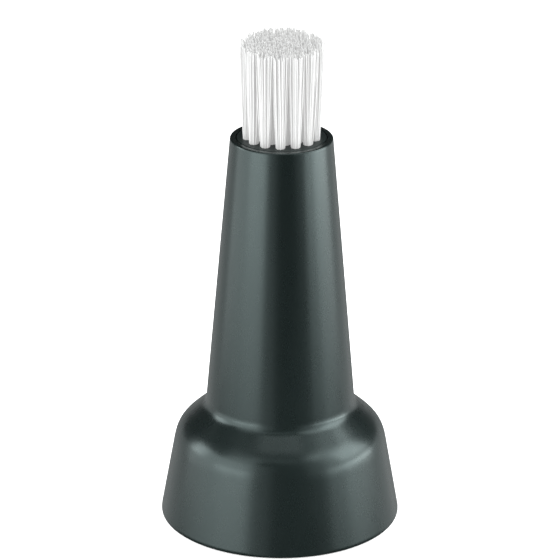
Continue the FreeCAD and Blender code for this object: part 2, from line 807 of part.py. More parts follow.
def make_all():
    """Every sub-part, fixed pieces first."""
    wire_middle = size("collar_bore_radius") + size("snap_groove_depth") - size("snap_wire_radius")
    cord_middle = size("collar_bore_radius") + size("neck_seal_groove_depth") - size("neck_seal_radius")
    bodies = [
        make_guard_body(),
        make_tool_adapter(),
        make_adapter_screws(),
        make_turned_ring("front_bush",
                         bush_corners(front_flange_bottom, thrust_washer_bottom, boss_bottom)),
        make_turned_ring("rear_bush",
                         bush_corners(rear_flange_bottom, rear_flange_top, bearing_tube_top)),
        make_nose_seal(),
        make_thrust_ring("thrust_washer", thrust_washer_bottom),
        make_thrust_ring("rear_washer", rear_washer_bottom),
        make_wire_ring("snap_ring", wire_middle - size("seat_clearance"), snap_ring_height,
                       size("snap_wire_radius"), size("snap_ring_sweep")),
        make_wire_ring("neck_seal", cord_middle - size("seat_clearance"), neck_seal_height,
                       size("neck_seal_radius")),
        make_brush_disc(),
        *[make_tuft_ring(node) for node in TUFT_RINGS],
        make_tuft_anchors(),
        make_drive_shaft(),
        make_shaft_circlip(),
        make_drive_socket(),
        make_socket_pin(),
    ]
    doc.recompute()
    return bodies


def check(bodies):
    """Stops the build if any object failed or any sub-part has no sound solid."""
    failed = [o.Name for o in doc.Objects if "Invalid" in o.State or "Error" in o.State]
    if failed:
        raise RuntimeError(f"these objects failed: {failed}")
    for body in bodies:
        if body.Shape.isNull() or not body.Shape.isValid() or not body.Shape.Solids:
            raise RuntimeError(f"{body.Label} has no sound solid")


def main():
    bodies = make_all()
    check(bodies)
    os.makedirs("parts", exist_ok=True)
    for body in bodies:
        body.Shape.exportStep(f"parts/{body.Label}.step")
        box = body.Shape.BoundBox
        print(f"{body.Label}: {len(body.Shape.Solids)} solids, {body.Shape.Volume:.1f} mm3, "
              f"z {box.ZMin:.2f} to {box.ZMax:.2f}, radius {box.XMax:.2f}")


main()
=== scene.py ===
"""Looks of a detail-cleaning brush head: a satin guard with a driven disc of white nylon tufts in its nose.

Lengths in the classes below are in millimetres and are turned into metres where a mesh is made. The
frame's +Z runs up the drive shaft, and the head stands on its rim at z = 0.
"""

import logging
import math
import random
from collections.abc import Sequence
from dataclasses import dataclass, field
from enum import Enum

import bmesh
import bpy
from mathutils import Matrix, Vector


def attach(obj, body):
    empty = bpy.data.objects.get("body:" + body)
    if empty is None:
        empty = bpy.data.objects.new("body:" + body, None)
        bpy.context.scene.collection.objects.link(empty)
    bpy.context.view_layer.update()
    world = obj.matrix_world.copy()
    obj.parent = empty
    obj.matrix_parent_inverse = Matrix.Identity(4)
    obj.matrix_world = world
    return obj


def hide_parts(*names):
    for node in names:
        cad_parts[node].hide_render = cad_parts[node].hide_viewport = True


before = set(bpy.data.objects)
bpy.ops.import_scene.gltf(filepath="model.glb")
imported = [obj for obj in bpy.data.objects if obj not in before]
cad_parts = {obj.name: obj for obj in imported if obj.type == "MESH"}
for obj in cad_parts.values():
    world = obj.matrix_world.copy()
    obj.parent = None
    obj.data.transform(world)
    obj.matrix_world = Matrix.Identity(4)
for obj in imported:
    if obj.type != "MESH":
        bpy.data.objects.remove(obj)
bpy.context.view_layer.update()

MM = 0.001
# Degrees past which the edge between two faces stays sharp
SHARP_ANGLE = 40.0
# How far a cutter reaches outside the piece that it cuts, in millimetres
OVERCUT = 1.0
LOG = logging.getLogger("brush_head")

Colour = tuple[float, float, float]
Socket = bpy.types.NodeSocket


class Body(Enum):
    """The rigid bodies that pieces ride on."""

    HOUSING = "housing"
    SPINDLE = "spindle"


# --- Outlines and meshes ------------------------------------------------------------------------


@dataclass(frozen=True)
class Corner:
    """A corner of a turned piece's outline.

    Attributes:
        radius: distance from the shaft's axis.
        height: height above the rim.
        round: radius of the rounding at this corner, or 0 for a sharp one.
    """

    radius: float
    height: float
    round: float = 0.0

    @property
    def point(self) -> Vector:
        """The corner as a point of the outline's plane."""
        return Vector((self.radius, self.height))


class Outline:
    """A turned piece's section, as corners that may be rounded."""

    # Most of a side that the rounding at one of its ends may take
    LONGEST_REACH = 0.49
    # Where the curve's second and fifth control points lie, as shares of its reach
    OUTER_CONTROL = 0.6

    def __init__(
        self, corners: Sequence[Corner], closed: bool = True, arc_steps: int = 8, ease: float = 1.35
    ) -> None:
        """Keeps the corners.

        Args:
            corners: the corners, in order round the section.
            closed: whether the last corner joins the first. An open outline starts and ends on the axis.
            arc_steps: edges to a rounded corner.
            ease: how many times further than a plain arc a rounding reaches along its sides.
        """
        self.corners = list(corners)
        self.closed = closed
        self.arc_steps = arc_steps
        self.ease = ease

    def points(self) -> list[Vector]:
        """Works out the outline's points, with each rounded corner as an arc.

        Returns:
            Points as (radius, height), in millimetres.
        """
        count = len(self.corners)
        found: list[Vector] = []
        for i, corner in enumerate(self.corners):
            at_end = not self.closed and i in (0, count - 1)
            if corner.round <= 0 or at_end:
                found.append(corner.point)
                continue
            before = self.corners[i - 1].point - corner.point
            after = self.corners[(i + 1) % count].point - corner.point
            found.extend(self._blend(corner, before, after))
        return found

    def _blend(self, corner: Corner, before: Vector, after: Vector) -> list[Vector]:
        """Rounds one corner with a curve whose ends have no curvature, so that no highlight breaks there.

        Its middle lies where a plain arc's would.

        Args:
            corner: the corner.
            before: the way from it to the corner before.
            after: the way from it to the corner after.

        Returns:
            The curve's points.
        """
        a, b = before.normalized(), after.normalized()
        half = a.angle(b) / 2
        reach = self.ease * corner.round / math.tan(half)
        reach = min(reach, self.LONGEST_REACH * before.length, self.LONGEST_REACH * after.length)
        middle = 16 / (self.ease * (1 + math.sin(half)))
        outer = self.OUTER_CONTROL
        inner = (middle - 1 - 5 * outer) / 10
        ends = [a * share for share in (1, outer, inner)] + [b * share for share in (inner, outer, 1)]
        found = []
        for k in range(self.arc_steps + 1):
            t = k / self.arc_steps
            weights = [math.comb(5, i) * t**i * (1 - t) ** (5 - i) for i in range(6)]
            offset = sum((e * w for e, w in zip(ends, weights)), Vector((0, 0)))
            found.append(corner.point + offset * reach)
        return found


def finish_mesh(bm: bmesh.types.BMesh, name: str, sharp_angle: float = SHARP_ANGLE) -> bpy.types.Object:
    """Turns a finished bmesh into an object at the origin, smooth except across sharp edges.

    Args:
        bm: the bmesh, in metres. It is freed.
        name: the object's name.
        sharp_angle: edges that turn more than this many degrees stay sharp.

    Returns:
        The new object.
    """
    bmesh.ops.recalc_face_normals(bm, faces=bm.faces)
    mesh = bpy.data.meshes.new(name)
    bm.to_mesh(mesh)
    bm.free()
    mesh.shade_smooth()
    mesh.set_sharp_from_angle(angle=math.radians(sharp_angle))
    made = bpy.data.objects.new(name, mesh)
    bpy.context.scene.collection.objects.link(made)
    return made


def turned(outline: Outline, segments: int = 96) -> bmesh.types.BMesh:
    """Spins an outline a full turn about Z.

    Args:
        outline: the section.
        segments: steps to the turn.

    Returns:
        A closed bmesh, in metres.
    """
    bm = bmesh.new()
    ring = [bm.verts.new((p.x * MM, 0.0, p.y * MM)) for p in outline.points()]
    pairs = list(zip(ring, ring[1:]))
    if outline.closed:
        pairs.append((ring[-1], ring[0]))
    edges = [bm.edges.new(pair) for pair in pairs]
    bmesh.ops.spin(bm, geom=ring + edges, cent=(0, 0, 0), axis=(0, 0, 1), angle=math.tau,
                   steps=segments, use_merge=True)
    bmesh.ops.remove_doubles(bm, verts=bm.verts, dist=1e-8)
    return bm


def combine(piece: bpy.types.Object, tools: Sequence[bpy.types.Object], operation: str) -> None:
    """Joins tools to a piece, or cuts them from it, and removes them.

    Args:
        piece: the piece that is kept.
        tools: closed meshes.
        operation: UNION or DIFFERENCE.
    """
    for tool in tools:
        step = piece.modifiers.new("combine", "BOOLEAN")
        step.operation = operation
        step.solver = "EXACT"
        step.object = tool
    graph = bpy.context.evaluated_depsgraph_get()
    mesh = bpy.data.meshes.new_from_object(piece.evaluated_get(graph))
    piece.modifiers.clear()
    old, piece.data = piece.data, mesh
    bpy.data.meshes.remove(old)
    for tool in tools:
        bpy.data.objects.remove(tool)
    mesh.shade_smooth()
    mesh.set_sharp_from_angle(angle=math.radians(SHARP_ANGLE))


def around(count: int, start: float = 0.0) -> list[Matrix]:
    """Turns about Z that spread copies evenly, the first at start degrees."""
    return [Matrix.Rotation(math.radians(start + 360.0 * k / count), 4, "Z") for k in range(count)]


def plates(
    name: str, outline: Sequence[tuple[float, float]], thickness: float, turns: Sequence[Matrix]
) -> bpy.types.Object:
    """Makes a flat upright plate at each turn.

    Args:
        name: the object's name.
        outline: the plate's corners as (distance from the axis, height).
        thickness: how thick it is, half to each side.
        turns: the turns about Z at which plates stand.

    Returns:
        The plates, each separate and closed.
    """
    bm = bmesh.new()
    across = Vector((0, thickness, 0))
    for turn in turns:
        spots = [turn @ (Vector((x, 0, z)) - across / 2) * MM for x, z in outline]
        face = bm.faces.new([bm.verts.new(spot) for spot in spots])
        grown = bmesh.ops.extrude_face_region(bm, geom=[face], use_keep_orig=True)["geom"]
        corners = [v for v in grown if isinstance(v, bmesh.types.BMVert)]
        bmesh.ops.translate(bm, vec=turn @ across * MM, verts=corners)
    return finish_mesh(bm, name)


def peg(bm: bmesh.types.BMesh, radius: float, length: float, place: Matrix, segments: int = 32) -> None:
    """Adds a round peg to a bmesh.

    Args:
        bm: the bmesh to add to, in metres.
        radius: the peg's radius, in millimetres.
        length: its length, in millimetres.
        place: where its middle goes, in metres, and how it is turned.
        segments: its sides.
    """
    bmesh.ops.create_cone(bm, cap_ends=True, segments=segments, radius1=radius * MM, radius2=radius * MM,
                          depth=length * MM, matrix=place)


# --- Finishes -----------------------------------------------------------------------------------


class Graph:
    """A material's node tree, with short calls for the nodes that the finishes share."""

    def __init__(self, name: str) -> None:
        """Starts an empty material.

        Args:
            name: the material's name.
        """
        self.material = bpy.data.materials.new(name)
        self.material.use_nodes = True
        self.tree = self.material.node_tree
        self.tree.nodes.clear()
        self.shader = self.tree.nodes.new("ShaderNodeBsdfPrincipled")
        output = self.tree.nodes.new("ShaderNodeOutputMaterial")
        self.tree.links.new(self.shader.outputs["BSDF"], output.inputs["Surface"])
        self.place = self.tree.nodes.new("ShaderNodeTexCoord").outputs["Object"]

    def set(self, **values: float | Colour) -> None:
        """Sets the shader's sockets, named with underscores for spaces."""
        for key, value in values.items():
            socket = self.shader.inputs[key.replace("_", " ")]
            is_colour = isinstance(value, tuple) and len(socket.default_value) == 4
            socket.default_value = (*value, 1.0) if is_colour else value

    def drive(self, socket: str, source: Socket) -> None:
        """Feeds one of the shader's sockets from a node."""
        self.tree.links.new(source, self.shader.inputs[socket])

    def stretched(self, x: float, y: float, z: float) -> Socket:
        """Object coordinates scaled on each axis, so that a pattern runs one way."""
        node = self.tree.nodes.new("ShaderNodeMapping")
        node.inputs["Scale"].default_value = (x, y, z)
        self.tree.links.new(self.place, node.inputs["Vector"])
        return node.outputs["Vector"]

    def noise(
        self, scale: float, detail: float = 3.0, rough: float = 0.55, place: Socket | None = None
    ) -> Socket:
        """A noise's value.

        Args:
            scale: cells to the metre.
            detail: octaves.
            rough: share of each finer octave.
            place: coordinates to use in place of the object's.

        Returns:
            The noise, about 0.5.
        """
        node = self.tree.nodes.new("ShaderNodeTexNoise")
        node.inputs["Scale"].default_value = scale
        node.inputs["Detail"].default_value = detail
        node.inputs["Roughness"].default_value = rough
        self.tree.links.new(place or self.place, node.inputs["Vector"])
        return node.outputs["Fac"]

    def spread(self, source: Socket, low: float, high: float, to_low: float, to_high: float) -> Socket:
        """Maps a value smoothly from one range to another, and holds it at the ends."""
        node = self.tree.nodes.new("ShaderNodeMapRange")
        node.interpolation_type = "SMOOTHSTEP"
        limits = {"From Min": low, "From Max": high, "To Min": to_low, "To Max": to_high}
        for socket, value in limits.items():
            node.inputs[socket].default_value = value
        self.tree.links.new(source, node.inputs["Value"])
        return node.outputs["Result"]

    def maths(self, operation: str, first: Socket, second: Socket | float) -> Socket:
        """A sum, product or the like of two values."""
        node = self.tree.nodes.new("ShaderNodeMath")
        node.operation = operation
        self.tree.links.new(first, node.inputs[0])
        if isinstance(second, Socket):
            self.tree.links.new(second, node.inputs[1])
        else:
            node.inputs[1].default_value = second
        return node.outputs["Value"]

    def height(self) -> Socket:
        """How high a point is, in metres."""
        node = self.tree.nodes.new("ShaderNodeSeparateXYZ")
        self.tree.links.new(self.place, node.inputs["Vector"])
        return node.outputs["Z"]

    def attribute(self, name: str) -> Socket:
        """A value that the mesh carries."""
        node = self.tree.nodes.new("ShaderNodeAttribute")
        node.attribute_name = name
        return node.outputs["Fac"]

    def blend(self, factor: Socket, first: Colour | Socket, second: Colour | Socket) -> Socket:
        """Goes from one colour to another as a value goes from 0 to 1."""
        node = self.tree.nodes.new("ShaderNodeMix")
        node.data_type = "RGBA"
        self.tree.links.new(factor, node.inputs["Factor"])
        for socket, colour in ((node.inputs[6], first), (node.inputs[7], second)):
            if isinstance(colour, Socket):
                self.tree.links.new(colour, socket)
            else:
                socket.default_value = (*colour, 1.0)
        return node.outputs[2]

    def bump(
        self, source: Socket, depth: float, strength: float = 1.0, under: Socket | None = None
    ) -> Socket:
        """Raises the surface by a value.

        Args:
            source: the value.
            depth: height in metres for a value of 1.
            strength: how much of it is used.
            under: a bump that this one lies on.

        Returns:
            The normal.
        """
        node = self.tree.nodes.new("ShaderNodeBump")
        node.inputs["Distance"].default_value = depth
        node.inputs["Strength"].default_value = strength
        self.tree.links.new(source, node.inputs["Height"])
        if under is not None:
            self.tree.links.new(under, node.inputs["Normal"])
        return node.outputs["Normal"]


@dataclass(frozen=True)
class Moulded:
    """Injection-moulded plastic: fine spark-eroded grain, faint flow marks and rubbed edges.

    Attributes:
        slot: the record's material slot.
        colour: the plastic's own colour.
        roughness: how dull it is.
        grain: grain cells to the metre.
        grain_depth: height of the grain, in metres.
        specular: strength of the gloss.
        tint: colour of the gloss seen face on.
        scuffed: how much handling has changed the roughness, up or down.
        worn: heights in metres, each with a reach, at which edges are rubbed.
    """

    slot: str
    colour: Colour
    roughness: float
    grain: float = 5200.0
    grain_depth: float = 6e-6
    specular: float = 0.5
    tint: Colour = (1.0, 1.0, 1.0)
    scuffed: float = 0.04
    worn: tuple[tuple[float, float], ...] = ()

    def material(self) -> bpy.types.Material:
        """Builds the material."""
        g = Graph(f"{self.slot}_finish")
        g.set(Specular_IOR_Level=self.specular, Specular_Tint=self.tint, IOR=1.49)
        lighter = tuple(c * 1.16 + 0.0012 for c in self.colour)
        darker = tuple(c * 0.88 for c in self.colour)
        flow = g.noise(38.0, 2.0, 0.5, g.stretched(1.0, 1.0, 0.35))
        colour = g.blend(g.spread(flow, 0.3, 0.7, 0.0, 1.0), darker, lighter)
        scuffs = g.noise(420.0, 5.0, 0.6, g.stretched(1.0, 1.0, 0.5))
        rough = g.spread(scuffs, 0.3, 0.75, self.roughness - self.scuffed, self.roughness + self.scuffed)
        for level, reach in self.worn:
            away = g.maths("ABSOLUTE", g.maths("SUBTRACT", g.height(), level), 0.0)
            band = g.spread(away, 0.0, reach, 1.0, 0.0)
            rub = g.maths("MULTIPLY", band, g.spread(g.noise(700.0, 5.0, 0.65), 0.52, 0.72, 0.0, 1.0))
            pale = tuple(c * 1.7 + 0.012 for c in self.colour)
            colour = g.blend(g.maths("MULTIPLY", rub, 0.5), colour, pale)
            rough = g.maths("ADD", rough, g.maths("MULTIPLY", rub, 0.10))
        g.drive("Base Color", colour)
        g.drive("Roughness", rough)
        wave = g.bump(g.noise(70.0, 1.0), 1.5e-5, 0.3)
        g.drive("Normal", g.bump(g.noise(self.grain, 2.0, 0.5), self.grain_depth, 1.0, wave))
        return g.material


@dataclass(frozen=True)
class Nylon:
    """White nylon filament, a little translucent, each strand a slightly different white, with painted
    light in the strands' own colour standing in for light passing through them.

    Attributes:
        slot: the record's material slot.
        colour: the strands' colour.
        shaded: colour of the strands that look greyest.
        painted_glow: painted light, an emission in the strands' own colour that lifts their shaded sides
            and ends and the gaps between them, standing in for light carried through the translucent nylon.
    """

    slot: str
    colour: Colour
    shaded: Colour
    painted_glow: float

    def material(self) -> bpy.types.Material:
        """Builds the material."""
        g = Graph(f"{self.slot}_finish")
        # Painted light: the strands give off light in their own colour, which lifts their shaded sides and
        # the gaps between them in place of light passing through the nylon.
        g.set(IOR=1.53, Specular_IOR_Level=0.2, Emission_Strength=self.painted_glow)
        strand = g.attribute("strand")
        mottle = g.noise(2600.0, 2.0, 0.5, g.stretched(1.0, 1.0, 0.1))
        greyness = g.spread(strand, 0.0, 1.0, 0.0, 1.0)
        shade = g.maths("MULTIPLY", greyness, g.spread(mottle, 0.2, 0.8, 0.4, 1.0))
        white = g.blend(shade, self.colour, self.shaded)
        g.drive("Base Color", white)
        g.drive("Emission Color", white)
        g.drive("Roughness", g.spread(mottle, 0.3, 0.7, 0.42, 0.55))
        g.drive("Normal", g.bump(mottle, 4e-6))
        return g.material


@dataclass(frozen=True)
class Metal:
    """Bare or plated metal with the marks of how it was made.

    Attributes:
        slot: the record's material slot.
        colour: the metal's reflection.
        roughness: how dull it is.
        lay: stretch of the tool marks along X, Y and Z.
        marks: tool marks to the metre.
        depth: their height in metres.
        stain: colour of oil, oxide or handling marks.
    """

    slot: str
    colour: Colour
    roughness: float
    lay: tuple[float, float, float] = (1.0, 1.0, 1.0)
    marks: float = 3000.0
    depth: float = 3e-6
    stain: Colour = (0.2, 0.19, 0.18)

    def material(self) -> bpy.types.Material:
        """Builds the material."""
        g = Graph(f"{self.slot}_finish")
        g.set(Metallic=1.0)
        lines = g.noise(self.marks, 3.0, 0.6, g.stretched(*self.lay))
        patches = g.noise(260.0, 4.0, 0.6)
        colour = g.blend(g.spread(lines, 0.3, 0.7, 0.0, 0.25), self.colour, self.stain)
        colour = g.blend(g.spread(patches, 0.55, 0.75, 0.0, 0.45), colour, self.stain)
        g.drive("Base Color", colour)
        rough = g.maths("ADD", g.spread(patches, 0.4, 0.7, 0.0, 0.14),
                        g.spread(lines, 0.3, 0.7, self.roughness - 0.05, self.roughness + 0.05))
        g.drive("Roughness", rough)
        g.drive("Normal", g.bump(lines, self.depth))
        return g.material


@dataclass(frozen=True)
class Rubber:
    """Matt moulded rubber with a dusty bloom.

    Attributes:
        slot: the record's material slot.
        colour: the rubber's colour.
    """

    slot: str
    colour: Colour

    def material(self) -> bpy.types.Material:
        """Builds the material."""
        g = Graph(f"{self.slot}_finish")
        g.set(Specular_IOR_Level=0.35)
        bloom = g.noise(600.0, 5.0, 0.65)
        dusty = tuple(c + 0.03 for c in self.colour)
        g.drive("Base Color", g.blend(g.spread(bloom, 0.45, 0.75, 0.0, 0.8), self.colour, dusty))
        g.drive("Roughness", g.spread(bloom, 0.3, 0.7, 0.5, 0.72))
        g.drive("Normal", g.bump(g.noise(4000.0, 2.0), 5e-6))
        return g.material


class Finish(Enum):
    """Every finish on the head, by the slot that the record gives it."""

    GUARD = Moulded("guard_plastic", (0.0030, 0.0064, 0.0060), 0.28, grain_depth=1.4e-6, specular=0.8,
                    tint=(0.83, 1.0, 0.99), scuffed=0.012, worn=((0.0, 0.0012),))
    DISC = Moulded("disc_plastic", (0.0080, 0.0130, 0.0122), 0.42, grain=4200.0, grain_depth=6e-6,
                   specular=0.4, tint=(0.85, 1.0, 0.99))
    ADAPTER = Moulded("adapter_plastic", (0.016, 0.017, 0.0175), 0.48, grain=3600.0, grain_depth=1.2e-5,
                      worn=((0.0015, 0.0012),))
    BUSH = Moulded("bush_plastic", (0.78, 0.76, 0.68), 0.38, grain=2500.0, grain_depth=4e-6)
    # The tuft finish's last value is its painted light: an emission in the strands' own colour that stands
    # in for light passing through the nylon.
    TUFT = Nylon("white_nylon", (0.445, 0.445, 0.442), (0.40, 0.40, 0.40), 0.45)
    RUBBER = Rubber("black_rubber", (0.018, 0.018, 0.019))
    GROUND = Metal("bright_steel", (0.60, 0.60, 0.59), 0.24, lay=(0.15, 0.15, 1.0))
    SPRING = Metal("spring_steel", (0.30, 0.29, 0.27), 0.34, lay=(1.0, 1.0, 0.3), stain=(0.10, 0.09, 0.08))
    ZINC = Metal("zinc_steel", (0.66, 0.68, 0.70), 0.30, marks=1500.0, stain=(0.42, 0.42, 0.36))
    BRASS = Metal("anchor_brass", (0.72, 0.53, 0.25), 0.30, lay=(1.0, 1.0, 0.2), stain=(0.40, 0.27, 0.12))
    SINTERED = Metal("socket_steel", (0.22, 0.22, 0.225), 0.42, marks=5200.0, depth=9e-6,
                     stain=(0.09, 0.085, 0.08))

    @property
    def slot(self) -> str:
        """The record's material slot."""
        return self.value.slot

    @property
    def material(self) -> bpy.types.Material:
        """The finish's material, built the first time that it is asked for."""
        return bpy.data.materials.get(f"{self.slot}_finish") or self.value.material()


def dress(piece: bpy.types.Object, finish: Finish) -> None:
    """Gives a piece one finish all over."""
    piece.data.materials.clear()
    piece.data.materials.append(finish.material)


def deliver(piece: bpy.types.Object, finish: Finish, body: Body, *nodes: str) -> bpy.types.Object:
    """Dresses a finished piece, puts it on its body and hides the solids that it stands for.

    Args:
        piece: the finished object.
        finish: its finish.
        body: the body that it rides on.
        nodes: the solids that it stands for.

    Returns:
        The piece.
    """
    dress(piece, finish)
    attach(piece, body.value)
    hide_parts(*nodes)
    finish.slot
    LOG.info("%s: %d faces, for %s", piece.name, len(piece.data.polygons), ", ".join(nodes))
    return piece


# --- The guard ----------------------------------------------------------------------------------


@dataclass
class Guard:
    """The fixed outer moulding: flared skirt, rounded shoulder, tapered cone and open nose."""

    rim_radius: float = 27.0
    shoulder_radius: float = 23.33
    shoulder_height: float = 20.85
    neck_radius: float = 16.76
    neck_height: float = 26.57
    nose_radius: float = 11.35
    nose_height: float = 89.6
    mouth_radius: float = 10.1
    mouth_floor: float = 83.0
    web_bottom: float = 80.5
    wall: float = 2.0
    rim_wall: float = 2.4
    rim_round: float = 1.6
    shoulder_round: float = 8.5
    neck_fillet: float = 3.0
    nose_round: float = 1.1
    seal_radius: float = 6.6
    seal_seat: float = 78.9
    flange_bore: float = 6.05
    flange_seat: float = 73.05
    bush_bore: float = 4.52
    boss_wall: float = 1.6
    boss_bottom: float = 64.05
    ribs: int = 4
    rib_thickness: float = 1.6
    rib_bottom: float = 66.5
    rib_root: float = 0.5
    posts: int = 3
    post_circle: float = 13.1
    post_turn: float = 60.0
    post_radius: float = 2.9
    post_bottom: float = 22.45
    post_top: float = 28.1
    pilot_radius: float = 1.28
    pilot_depth: float = 4.45
    segments: int = 288

    def cone_radius(self, height: float) -> float:
        """Outer radius of the cone at a height."""
        share = (self.nose_height - height) / (self.nose_height - self.neck_height)
        return self.nose_radius + share * (self.neck_radius - self.nose_radius)

    def shell(self) -> bpy.types.Object:
        """Turns the moulding, its bearing boss included.

        Returns:
            The shell.
        """
        half = self.wall / 2
        boss = self.flange_bore + self.boss_wall
        seal_boss = self.seal_radius + self.boss_wall
        corners = [
            Corner(self.rim_radius, 0.0, self.rim_round),
            Corner(self.shoulder_radius, self.shoulder_height, self.shoulder_round),
            Corner(self.neck_radius, self.neck_height, self.neck_fillet),
            Corner(self.nose_radius, self.nose_height, self.nose_round),
            Corner(self.mouth_radius, self.nose_height, 0.12),
            Corner(self.mouth_radius, self.mouth_floor, 0.3),
            Corner(self.seal_radius, self.mouth_floor, 0.2),
            Corner(self.seal_radius, self.seal_seat),
            Corner(self.flange_bore, self.seal_seat, 0.1),
            Corner(self.flange_bore, self.flange_seat),
            Corner(self.bush_bore, self.flange_seat, 0.1),
            Corner(self.bush_bore, self.boss_bottom, 0.15),
            Corner(boss, self.boss_bottom, 0.4),
            Corner(boss, self.seal_seat - self.boss_wall, 0.4),
            Corner(seal_boss, self.seal_seat - self.boss_wall, 0.4),
            Corner(seal_boss, self.web_bottom, 0.4),
            Corner(self.cone_radius(self.web_bottom) - self.wall, self.web_bottom, 0.8),
            Corner(self.neck_radius - self.wall, self.neck_height - half, self.neck_fillet),
            Corner(self.shoulder_radius - self.wall, self.shoulder_height - half,
                   self.shoulder_round - self.wall),
            Corner(self.rim_radius - self.rim_wall, 0.0, 0.35),
        ]
        return finish_mesh(turned(Outline(corners, arc_steps=14, ease=1.5), self.segments), "guard_shell")

    def inner_ribs(self) -> bpy.types.Object:
        """Makes the ribs that hold the bearing boss to the cone.

        Returns:
            The ribs, each a separate closed plate.
        """
        inside, top = self.flange_bore + self.boss_wall - self.rib_root, self.web_bottom + self.rib_root
        in_wall = self.wall / 2
        outline = [
            (inside, self.rib_bottom),
            (self.cone_radius(self.rib_bottom) - in_wall, self.rib_bottom),
            (self.cone_radius(self.web_bottom) - in_wall, top),
            (inside, top),
        ]
        return plates("guard_ribs", outline, self.rib_thickness, around(self.ribs))

    def pegs(self, name: str, radius: float, low: float, high: float) -> bpy.types.Object:
        """Makes a round peg at each screw post.

        Args:
            name: the object's name.
            radius: the pegs' radius.
            low: their lower ends.
            high: their upper ends.

        Returns:
            The pegs, each separate and closed.
        """
        bm = bmesh.new()
        for turn in around(self.posts, self.post_turn):
            spot = turn @ Vector((self.post_circle, 0, (low + high) / 2)) * MM
            peg(bm, radius, high - low, Matrix.Translation(spot), segments=40)
        return finish_mesh(bm, name)

    def build(self) -> None:
        """Makes and dresses the guard."""
        guard = self.shell()
        posts = self.pegs("guard_posts", self.post_radius, self.post_bottom, self.post_top)
        combine(guard, [self.inner_ribs(), posts], "UNION")
        pilots = self.pegs("pilots", self.pilot_radius, self.post_bottom - OVERCUT,
                           self.post_bottom + self.pilot_depth)
        combine(guard, [pilots], "DIFFERENCE")
        deliver(guard, Finish.GUARD, Body.HOUSING, "guard_body")


# --- The brush ----------------------------------------------------------------------------------


@dataclass(frozen=True)
class TuftRing:
    """One ring of tufts.

    Attributes:
        node: the solid that the ring stands for.
        radius: the ring's radius.
        count: tufts in it.
        turned: degrees that its first tuft is turned from +X.
    """

    node: str
    radius: float
    count: int
    turned: float


TUFT_RINGS = (
    TuftRing("centre_tuft", 0.0, 1, 0.0),
    TuftRing("inner_tufts", 2.523, 5, -70.0),
    TuftRing("middle_tufts", 5.047, 10, -81.0),
    TuftRing("outer_tufts", 7.57, 14, -92.0),
)


@dataclass
class BrushDisc:
    """The driven disc that carries the tufts, with its hub below."""

    radius: float = 9.9
    face: float = 89.6
    underside: float = 84.0
    hub_radius: float = 4.5
    hub_bottom: float = 74.6
    edge: float = 0.16
    bore: float = 2.5
    bore_depth: float = 7.6
    hole_radius: float = 0.95
    hole_depth: float = 4.2
    hole_flare: float = 0.04

    def blank(self) -> bpy.types.Object:
        """Turns the disc and hub, with the shaft's bore.

        Returns:
            The blank, without its tuft holes.
        """
        corners = [
            Corner(0.0, self.face),
            Corner(self.radius, self.face, self.edge),
            Corner(self.radius, self.underside, self.edge),
            Corner(self.hub_radius, self.underside, 0.5),
            Corner(self.hub_radius, self.hub_bottom, 0.2),
            Corner(self.bore, self.hub_bottom, 0.15),
            Corner(self.bore, self.hub_bottom + self.bore_depth),
            Corner(0.0, self.hub_bottom + self.bore_depth),
        ]
        return finish_mesh(turned(Outline(corners, closed=False, arc_steps=4), 192), "brush_disc_moulding")

    def holes(self) -> bpy.types.Object:
        """Makes a cutter for each tuft hole, slightly wider at its mouth.

        Returns:
            The cutters, each separate and closed.
        """
        bm = bmesh.new()
        height = self.hole_depth + OVERCUT
        for ring in TUFT_RINGS:
            for turn in around(ring.count, ring.turned):
                spot = turn @ Vector((ring.radius, 0, self.face - self.hole_depth + height / 2)) * MM
                bmesh.ops.create_cone(bm, cap_ends=True, segments=20, radius1=self.hole_radius * MM,
                                      radius2=(self.hole_radius + self.hole_flare) * MM, depth=height * MM,
                                      matrix=Matrix.Translation(spot))
        return finish_mesh(bm, "tuft_holes")

    def build(self) -> None:
        """Makes and dresses the disc."""
        disc = self.blank()
        combine(disc, [self.holes()], "DIFFERENCE")
        deliver(disc, Finish.DISC, Body.SPINDLE, "brush_disc")


